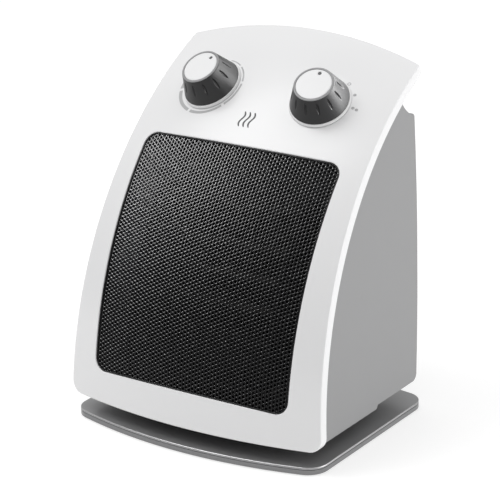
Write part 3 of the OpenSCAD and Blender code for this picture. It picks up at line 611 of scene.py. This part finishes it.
def make_dial(name, body, x, zero):
    """A tapered dial with narrow finger slots, its foot ring, flat cap and setting dot."""

    def turned(part, profile, steps, look, shape=None):
        p = lathe(profile, steps)
        if shape:
            shape(p)
        faces = grid_faces(len(profile), steps)
        piece = add_mesh(f"{name}_{part}", on_panel(p, x, DIAL_ANGLE), faces, look, body)
        return piece

    foot_top = DIAL_GAP + DIAL_FOOT_H
    foot_r = DIAL_R + DIAL_FOOT
    # its lower edge reaches down towards the panel, which curves away from it
    foot = [(FOOT_INNER_R, 0.2), (DIAL_R + 0.1, 0.1), (foot_r - 0.1, -0.3), (foot_r, -0.2)]
    foot += [(foot_r - 0.35, foot_top - 0.3), (foot_r - 0.45, foot_top - 0.1)]
    foot += [(foot_r - 0.6, foot_top), (FOOT_INNER_R, foot_top)]
    turned("knob_foot", foot, DIAL_STEPS, KNOB_FOOT)

    low, high = foot_top + 0.12, DIAL_H - 0.55
    slope = (DIAL_RIM_R - DIAL_R) / (DIAL_H - foot_top)
    cone = [(DIAL_R + slope * (h - foot_top), h) for h in np.linspace(low, high, 56)]
    # the hollow under the knob, its lip, the cone, and the recess that holds the cap
    profile = [(0.05, 13.2), (9.6, 13.2), (17.2, 0.9), (17.6, 0.7), (18.6, 0.7), (18.7, low - 0.1)]
    profile += [(DIAL_R - 0.12, low - 0.08)] + cone
    profile += [(DIAL_RIM_R - 0.1, high), (DIAL_RIM_R - 0.1, DIAL_H - 1.4), (0.05, DIAL_H - 1.4)]
    rim = [(DIAL_RIM_R - 0.1, high - 0.4), (DIAL_RIM_R + 0.2, high + 0.02)]
    rim += [(DIAL_RIM_R + 0.12, DIAL_H - 0.25), (DIAL_RIM_R - 0.06, DIAL_H - 0.07)]
    rim += [(DIAL_RIM_R - 0.3, DIAL_H), (CAP_R + 0.3, DIAL_H), (CAP_R + 0.1, DIAL_H - 0.1)]
    rim += [(CAP_R + 0.02, DIAL_H - 0.3), (CAP_R + 0.02, DIAL_H - 1.2)]
    turned("knob_rim", rim, DIAL_STEPS, KNOB_RIM)

    def cut_grips(p):
        radius, height = np.hypot(p[..., 0], p[..., 1]), p[..., 2]
        # clockwise from the top, as the dial is seen
        around = np.arctan2(p[..., 0], p[..., 1])
        pitch = 2 * np.pi / GRIPS
        offset = (around / pitch + 0.5) % 1 - 0.5
        across = offset * pitch * radius / (GRIP_W / 2 + 0.1)
        middle = foot_top + 0.6 * (DIAL_H - foot_top)
        along = (height - middle) / (GRIP_LENGTH / 2)
        on_cone = (radius > DIAL_RIM_R + 0.05) & (height > low - 0.01) & (height < high + 0.01)
        hollow = np.clip(1 - across**2 - along**2, 0, None) ** 0.6
        sink = GRIP_DEPTH * np.where(on_cone, hollow, 0)
        p[..., 0] -= sink * np.sin(around)
        p[..., 1] -= sink * np.cos(around)

    grip = turned("knob_grip", profile, GRIP_STEPS, KNOB, cut_grips)
    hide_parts(f"{name}_knob")
    DIAL_PIECES.append(grip)

    dot_at = polar(DOT_AT, zero)
    face = DIAL_H + CAP_PROUD
    rings = [(r, face - 0.1 * (r / CAP_R) ** 2) for r in np.linspace(0.02, CAP_R - 0.5, 60)]
    rings += [(CAP_R - 0.2, face - 0.16), (CAP_R - 0.06, face - 0.3), (CAP_R - 0.04, face - 0.6)]
    rings += [(CAP_R - 0.04, face - 1.4), (0.02, face - 1.4)]

    def sink_dot(p):
        away = np.hypot(p[..., 0] - dot_at[0], p[..., 1] - dot_at[1])
        on_face = p[..., 2] > face - 0.12
        p[..., 2] -= np.where(on_face, DOT_DEPTH * np.clip((DOT_R + 0.15 - away) / 0.3, 0, 1), 0)

    cap = turned("knob_top", rings, DIAL_STEPS, CAP, sink_dot)
    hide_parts(f"{name}_knob_cap")

    bead = [(0.02, face - 0.2), (0.7, face - 0.21), (1.0, face - 0.25), (1.14, face - 0.36)]
    bead += [(1.14, face - 0.6), (0.02, face - 0.6)]

    def move_bead(p):
        p[..., 0] += dot_at[0]
        p[..., 1] += dot_at[1]

    turned("setting_dot", bead, BEAD_STEPS, DOT, move_bead)


# ---------- plinth ----------


def plinth_loop(inset, z):
    """Points round the plinth's outline, set in by some distance, at a height."""
    half = PLINTH_HALF - inset
    front = (PLINTH_HALF**2 + PLINTH_BOW**2) / (2 * PLINTH_BOW) - inset
    back = (PLINTH_HALF**2 + PLINTH_REAR_BOW**2) / (2 * PLINTH_REAR_BOW) - inset
    front_mid, back_mid = front + inset - PLINTH_D / 2, PLINTH_D / 2 - back - inset
    r = PLINTH_R - inset
    cx = half - r
    fy, by = math.sqrt((front - r) ** 2 - cx * cx), math.sqrt((back - r) ** 2 - cx * cx)
    f, b = math.degrees(math.atan2(fy, cx)), math.degrees(math.atan2(by, cx))
    side = np.linspace(front_mid - fy, back_mid + by, 24, endpoint=False)

    def arc(centre, radius, start, end, steps):
        t = np.linspace(start, end, steps, endpoint=False)
        return np.stack([centre[0] + radius * cosd(t), centre[1] + radius * sind(t)], -1)

    half_loop = np.concatenate(
        [
            arc((0, front_mid), front, -90, -f, 60),
            arc((cx, front_mid - fy), r, -f, 0, 24),
            np.stack([np.full(24, half), side], -1),
            arc((cx, back_mid + by), r, 0, b, 24),
            arc((0, back_mid), back, b, 90, 60),
            [[0.0, back_mid + back]],
        ]
    )
    half_loop[0, 0] = 0
    loop = mirrored([half_loop])[0]
    return np.concatenate([loop, np.full((len(loop), 1), z)], -1)


def make_plinth():
    """The lid of the plinth, with its holes, and the polished bevel round its edge."""
    z0, z1 = PLINTH_Z - PLINTH_TOP_T, PLINTH_Z
    profile = [(0.2, z0), (0.0, z0 + 0.15), (0.0, z1 - 0.6), (0.3, z1 - 0.57)]
    profile += [(0.4, z1 - 0.02), (0.5, z1)]
    rows = np.array([plinth_loop(inset, z) for inset, z in profile])
    count = rows.shape[1]
    faces = grid_faces(len(rows), count)
    faces += [tuple(range(count))[::-1], tuple(range((len(rows) - 1) * count, len(rows) * count))]
    lid = add_mesh("plinth_cover", rows, faces, PLINTH)
    for x in (-PLINTH_SCREW_X, PLINTH_SCREW_X):
        for y in PLINTH_SCREW_Y:
            drill(lid, x, y, PLINTH_SCREW_R)
    drill(lid, *PLUNGER_AT, PLUNGER_R)
    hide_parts("plinth_top")
    edge = [(0.3, z1 - 0.44), (0.0, z1 - 0.42), (0.02, z1 - 0.3), (0.1, z1 - 0.16)]
    edge += [(0.24, z1 - 0.05), (0.44, z1 + 0.01), (0.46, z1 - 0.1), (0.36, z1 - 0.3)]
    rim = add_loops("plinth_bevel", [plinth_loop(inset, z) for inset, z in edge], POLISHED)


def drill(piece, x, y, r):
    """Cuts an upright hole through a piece."""
    bpy.ops.mesh.primitive_cylinder_add(
        vertices=48, radius=r * MM, depth=0.05, location=(x * MM, y * MM, 0)
    )
    cutter = bpy.context.object
    modifier = piece.modifiers.new("hole", "BOOLEAN")
    modifier.object = cutter
    modifier.solver = "EXACT"
    bpy.context.view_layer.objects.active = piece
    bpy.ops.object.modifier_move_to_index(modifier="hole", index=0)
    bpy.ops.object.modifier_apply(modifier="hole")
    bpy.data.objects.remove(cutter)


# ---------- printed marks ----------


def printed(name, outline_rows, x, angle, look, closed=False):
    """A thin printed patch on the panel from rows of flat points, measured from (x, angle)."""
    rows = np.asarray(outline_rows, float)
    flat = np.concatenate([rows, np.zeros(rows.shape[:-1] + (1,))], -1)
    b, a = angles(on_panel(flat, x, angle))
    top, under = surface(b, a, -0.035), surface(b, a, 0.02)
    # over the top, and back under
    loop = np.concatenate([top, under[::-1]])
    faces = grid_faces(len(loop), rows.shape[1], True, closed)
    if not closed:
        n, c = len(loop), rows.shape[1]
        faces += [tuple(i * c for i in range(n)), tuple(i * c + c - 1 for i in range(n))[::-1]]
    piece = add_mesh(name, loop, faces, look)


def arc_rows(a0, a1, r0, r1, steps):
    """Rows of an arc's points; r0 and r1 are functions of its angles, clockwise from the top."""
    t = np.linspace(a0, a1, steps)
    inner, outer = np.array([r0(u) for u in t]), np.array([r1(u) for u in t])
    return [
        np.stack([inner * sind(t), inner * cosd(t)], -1),
        np.stack([outer * sind(t), outer * cosd(t)], -1),
    ]


# where the thermostat's strokes meet, in degrees clockwise from the top
SCALE_BOUNDS = [6, 38, 80, 133, 200, 256, 306]
SCALE_GAP = 2.5
# discs beside the mode dial: distance from its axis and angle
MODE_DISCS = [(21.9, 60), (22.2, 87), (24.9, 88.5)]
MODE_DISC_R = 1.05
MODE_RING_AT, MODE_RING_R = (21.6, 33), (0.72, 1.25)
# a plain sign for warm air: three waved strokes
WAVE_H, WAVE_SWING, WAVE_W = 5.6, 1.05, 0.62
SIGN_X, SIGN_ANGLE = -1.6, 47.6


def make_marks():
    """The thermostat's scale, the mode dial's positions and the sign above the outlet."""

    def inner_r(u):
        return 21.1 + 0.9 * min(1, max(0, (u - 140) / 90))

    def outer_r(u):
        # the scale thickens clockwise
        return inner_r(u) + 0.6 + 1.9 * u / 256

    for k, (start, end) in enumerate(zip(SCALE_BOUNDS, SCALE_BOUNDS[1:])):
        rows = arc_rows(start + SCALE_GAP, end - SCALE_GAP, inner_r, outer_r, 30)
        printed(f"thermostat_scale_{k + 1}", rows, -DIAL_X, DIAL_ANGLE, PRINT)

    ring = arc_rows(0, 348.75, lambda u: MODE_RING_R[0], lambda u: MODE_RING_R[1], 32)
    centre = polar(*MODE_RING_AT)
    printed("mode_mark_0", [r + centre for r in ring], DIAL_X, DIAL_ANGLE, PRINT, closed=True)
    disc = arc_rows(0, 345, lambda u: 0.02, lambda u: MODE_DISC_R, 24)
    for k, at in enumerate(MODE_DISCS):
        rows = [r + polar(*at) for r in disc]
        printed(f"mode_mark_{k + 1}", rows, DIAL_X, DIAL_ANGLE, PRINT, closed=True)

    y = np.linspace(-WAVE_H, WAVE_H, 40)
    for k, shift in enumerate((-3.6, 0.0, 3.6)):
        wave = shift + WAVE_SWING * np.sin(y / WAVE_H * np.pi)
        width = WAVE_W * np.sqrt(np.clip(1 - (y / (WAVE_H + 0.15)) ** 8, 0.02, 1))
        rows = [np.stack([wave - width, y], -1), np.stack([wave + width, y], -1)]
        printed(f"warm_air_sign_{k + 1}", rows, SIGN_X, SIGN_ANGLE, DARK)


make_panel()
make_bezel()
make_grille()
make_dial("thermostat", "thermostat_knob", -DIAL_X, THERMOSTAT_ZERO)
make_dial("mode", "mode_knob", DIAL_X, 0.0)
make_marks()
make_plinth()

# ---------- floor, light and camera ----------


def area_light(name, at, look_at, size, power, size_y=None):
    """A rectangular light, with its size in metres and its power in watts."""
    lamp = bpy.data.lights.new(name, "AREA")
    lamp.shape = "RECTANGLE"
    lamp.size, lamp.size_y = size, size_y or size
    lamp.energy = power
    o = bpy.data.objects.new(name, lamp)
    o.location = at
    o.rotation_euler = (Vector(look_at) - Vector(at)).to_track_quat("-Z", "Y").to_euler()
    bpy.context.scene.collection.objects.link(o)
    return o


def make_world():
    """A studio that is bright above, and a little dimmer in front and on the right."""
    world = bpy.data.worlds.new("studio")
    bpy.context.scene.world = world
    world.use_nodes = True
    nodes, links = world.node_tree.nodes, world.node_tree.links
    place = nodes.new("ShaderNodeTexCoord")
    split = nodes.new("ShaderNodeSeparateXYZ")
    links.new(place.outputs["Generated"], split.inputs[0])
    total = None
    for axis, start, end, low, high in (
        ("Z", 0.12, 0.88, 0.03, 0.85),
        ("X", -0.8, 0.9, 0.12, 0.0),
        ("Y", -0.9, 0.4, -0.03, 0.06),
    ):
        ramp = nodes.new("ShaderNodeMapRange")
        ramp.interpolation_type = "SMOOTHSTEP"
        sockets = {"From Min": start, "From Max": end, "To Min": low, "To Max": high}
        for socket, value in sockets.items():
            ramp.inputs[socket].default_value = value
        links.new(split.outputs[axis], ramp.inputs["Value"])
        if total is None:
            total = ramp.outputs["Result"]
        else:
            add = nodes.new("ShaderNodeMath")
            links.new(total, add.inputs[0])
            links.new(ramp.outputs["Result"], add.inputs[1])
            total = add.outputs[0]
    background = nodes["Background"]
    background.inputs["Color"].default_value = (1, 1, 1, 1)
    links.new(total, background.inputs["Strength"])


# the dials' cards stand on the right and higher up behind, the grille's in front on the left
CARD_AT, CARD_HIGH_AT, CARD_LOOK_AT = (1.12, 0.40, 0.45), (0.6, 0.9, 0.98), (0, 0.03, 0.22)
GRILLE_CARD_AT, GRILLE_CARD_LOOK_AT = (-0.60, -0.10, 0.52), (-0.03, -0.03, 0.15)


def make_stage():
    """The pale floor, the world and the lights."""
    bpy.ops.mesh.primitive_grid_add(x_subdivisions=8, y_subdivisions=8, size=12)
    floor = bpy.context.object
    floor.name = "floor"
    look = material("floor_white", (0.52, 0.52, 0.52), 0.7, tone=0.002, patch=3, grain=200)
    shader = look.node_tree.nodes["Principled BSDF"]
    shader.inputs["Emission Color"].default_value = (1, 1, 1, 1)
    shader.inputs["Emission Strength"].default_value = 0.575
    floor.data.materials.append(look)
    make_world()
    area_light("right", (1.45, 0.55, 0.36), (0, 0.1, 0.36), 1.4, 11.5, 0.7)
    area_light("above", (-0.66, -0.46, 1.47), (0, 0, 0.15), 0.85, 9.6)
    # cards for the gloss of the dials and of the grille, which light nothing else
    thermostat, mode = DIAL_PIECES[:1], DIAL_PIECES[1:]
    for name, at, look_at, width, power, height, pieces in (
        ("thermostat_card", CARD_AT, CARD_LOOK_AT, 1.7, 24, 0.8, thermostat),
        ("thermostat_card_high", CARD_HIGH_AT, CARD_LOOK_AT, 1.6, 18, 1.0, thermostat),
        ("mode_card", CARD_AT, CARD_LOOK_AT, 1.7, 36, 0.8, mode),
        ("mode_card_high", CARD_HIGH_AT, CARD_LOOK_AT, 1.8, 105, 1.0, mode),
        ("grille_card", GRILLE_CARD_AT, GRILLE_CARD_LOOK_AT, 0.40, 21, 0.40, GRILLE_PIECES),
    ):
        lit = bpy.data.collections.new(f"lit_by_{name}")
        for piece in pieces:
            lit.objects.link(piece)
        card = area_light(name, at, look_at, width, power, height)
        card.light_linking.receiver_collection = lit


AZ, EL, ROLL = math.radians(33.77), math.radians(19.166), math.radians(-0.741)
CAMERA_AT = (0.733344, -1.091652, 0.567479)
SENSOR_W, LENS = 36, 158.65


def make_camera():
    """Stands in front and to the right, a little above the heater."""
    back = Vector((math.sin(AZ) * math.cos(EL), -math.cos(AZ) * math.cos(EL), math.sin(EL)))
    right = Vector((math.cos(AZ), math.sin(AZ), 0))
    up = back.cross(right)
    x = right * math.cos(ROLL) + up * math.sin(ROLL)
    y = up * math.cos(ROLL) - right * math.sin(ROLL)
    data = bpy.data.cameras.new("camera")
    data.sensor_width, data.lens = SENSOR_W, LENS
    data.clip_start, data.clip_end = 0.05, 30
    camera = bpy.data.objects.new("camera", data)
    camera.matrix_world = Matrix.Translation(CAMERA_AT) @ Matrix([x, y, back]).transposed().to_4x4()
    bpy.context.scene.collection.objects.link(camera)
    bpy.context.scene.camera = camera


make_stage()
make_camera()
bpy.context.scene.view_settings.view_transform = "Standard"
